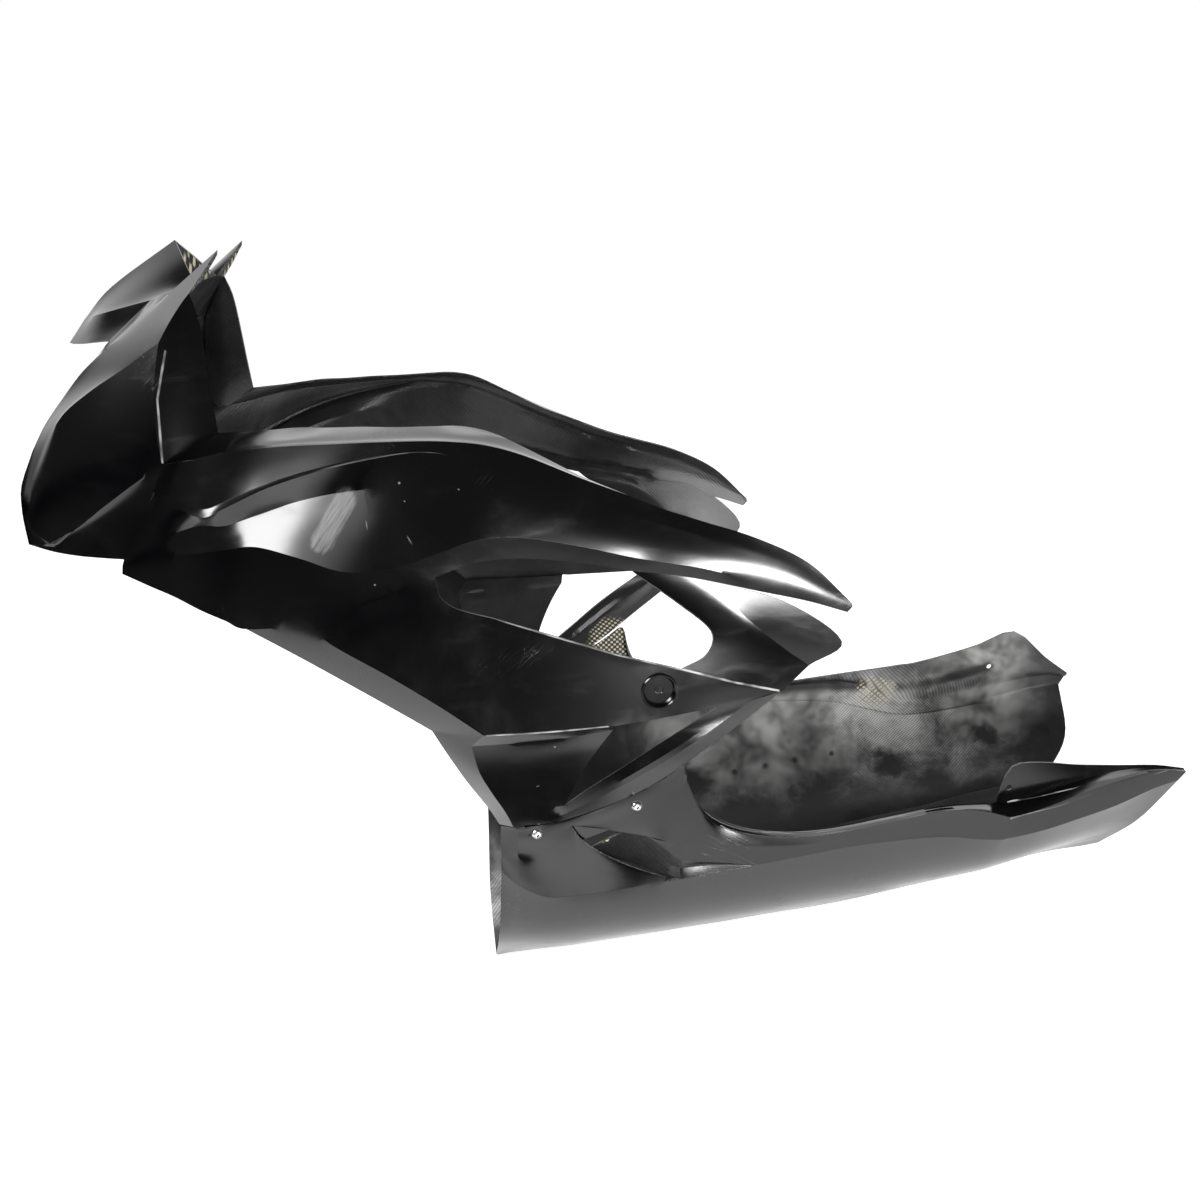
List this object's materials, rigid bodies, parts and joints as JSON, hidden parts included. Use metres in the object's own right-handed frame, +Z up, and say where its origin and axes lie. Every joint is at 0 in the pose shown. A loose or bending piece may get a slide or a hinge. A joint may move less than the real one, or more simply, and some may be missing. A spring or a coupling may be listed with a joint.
{
  "type": "motorcycle fairing",
  "caption": "Race-type motorcycle fairing: lobed nose with a beaked centre and open side panels, bolted to a boat-shaped belly pan, in thin glossy black laminate.",
  "frame": {"origin": "centre of the bounding box at the level of the lowest point of the belly pan", "axes": "-X towards the nose, +X towards the tail, Y across with the bike's left side at -Y, +Z up as fitted to the motorcycle"},
  "size_m": [1.2, 0.5104, 0.77],
  "materials": {
    "laminate": "black gloss gelcoat over woven laminate, scratched",
    "steel": "plain bright steel fasteners"
  },
  "bodies": {
    "root": {"upper_fairing": "laminate", "belly_pan": "laminate", "joint_screw_left_front": "steel", "joint_screw_left_rear": "steel", "joint_screw_right_front": "steel", "joint_screw_right_rear": "steel", "joint_washer_left_front": "steel", "joint_washer_left_rear": "steel", "joint_washer_right_front": "steel", "joint_washer_right_rear": "steel", "joint_nut_left_front": "steel", "joint_nut_left_rear": "steel", "joint_nut_right_front": "steel", "joint_nut_right_rear": "steel"}
  },
  "joints": []
}
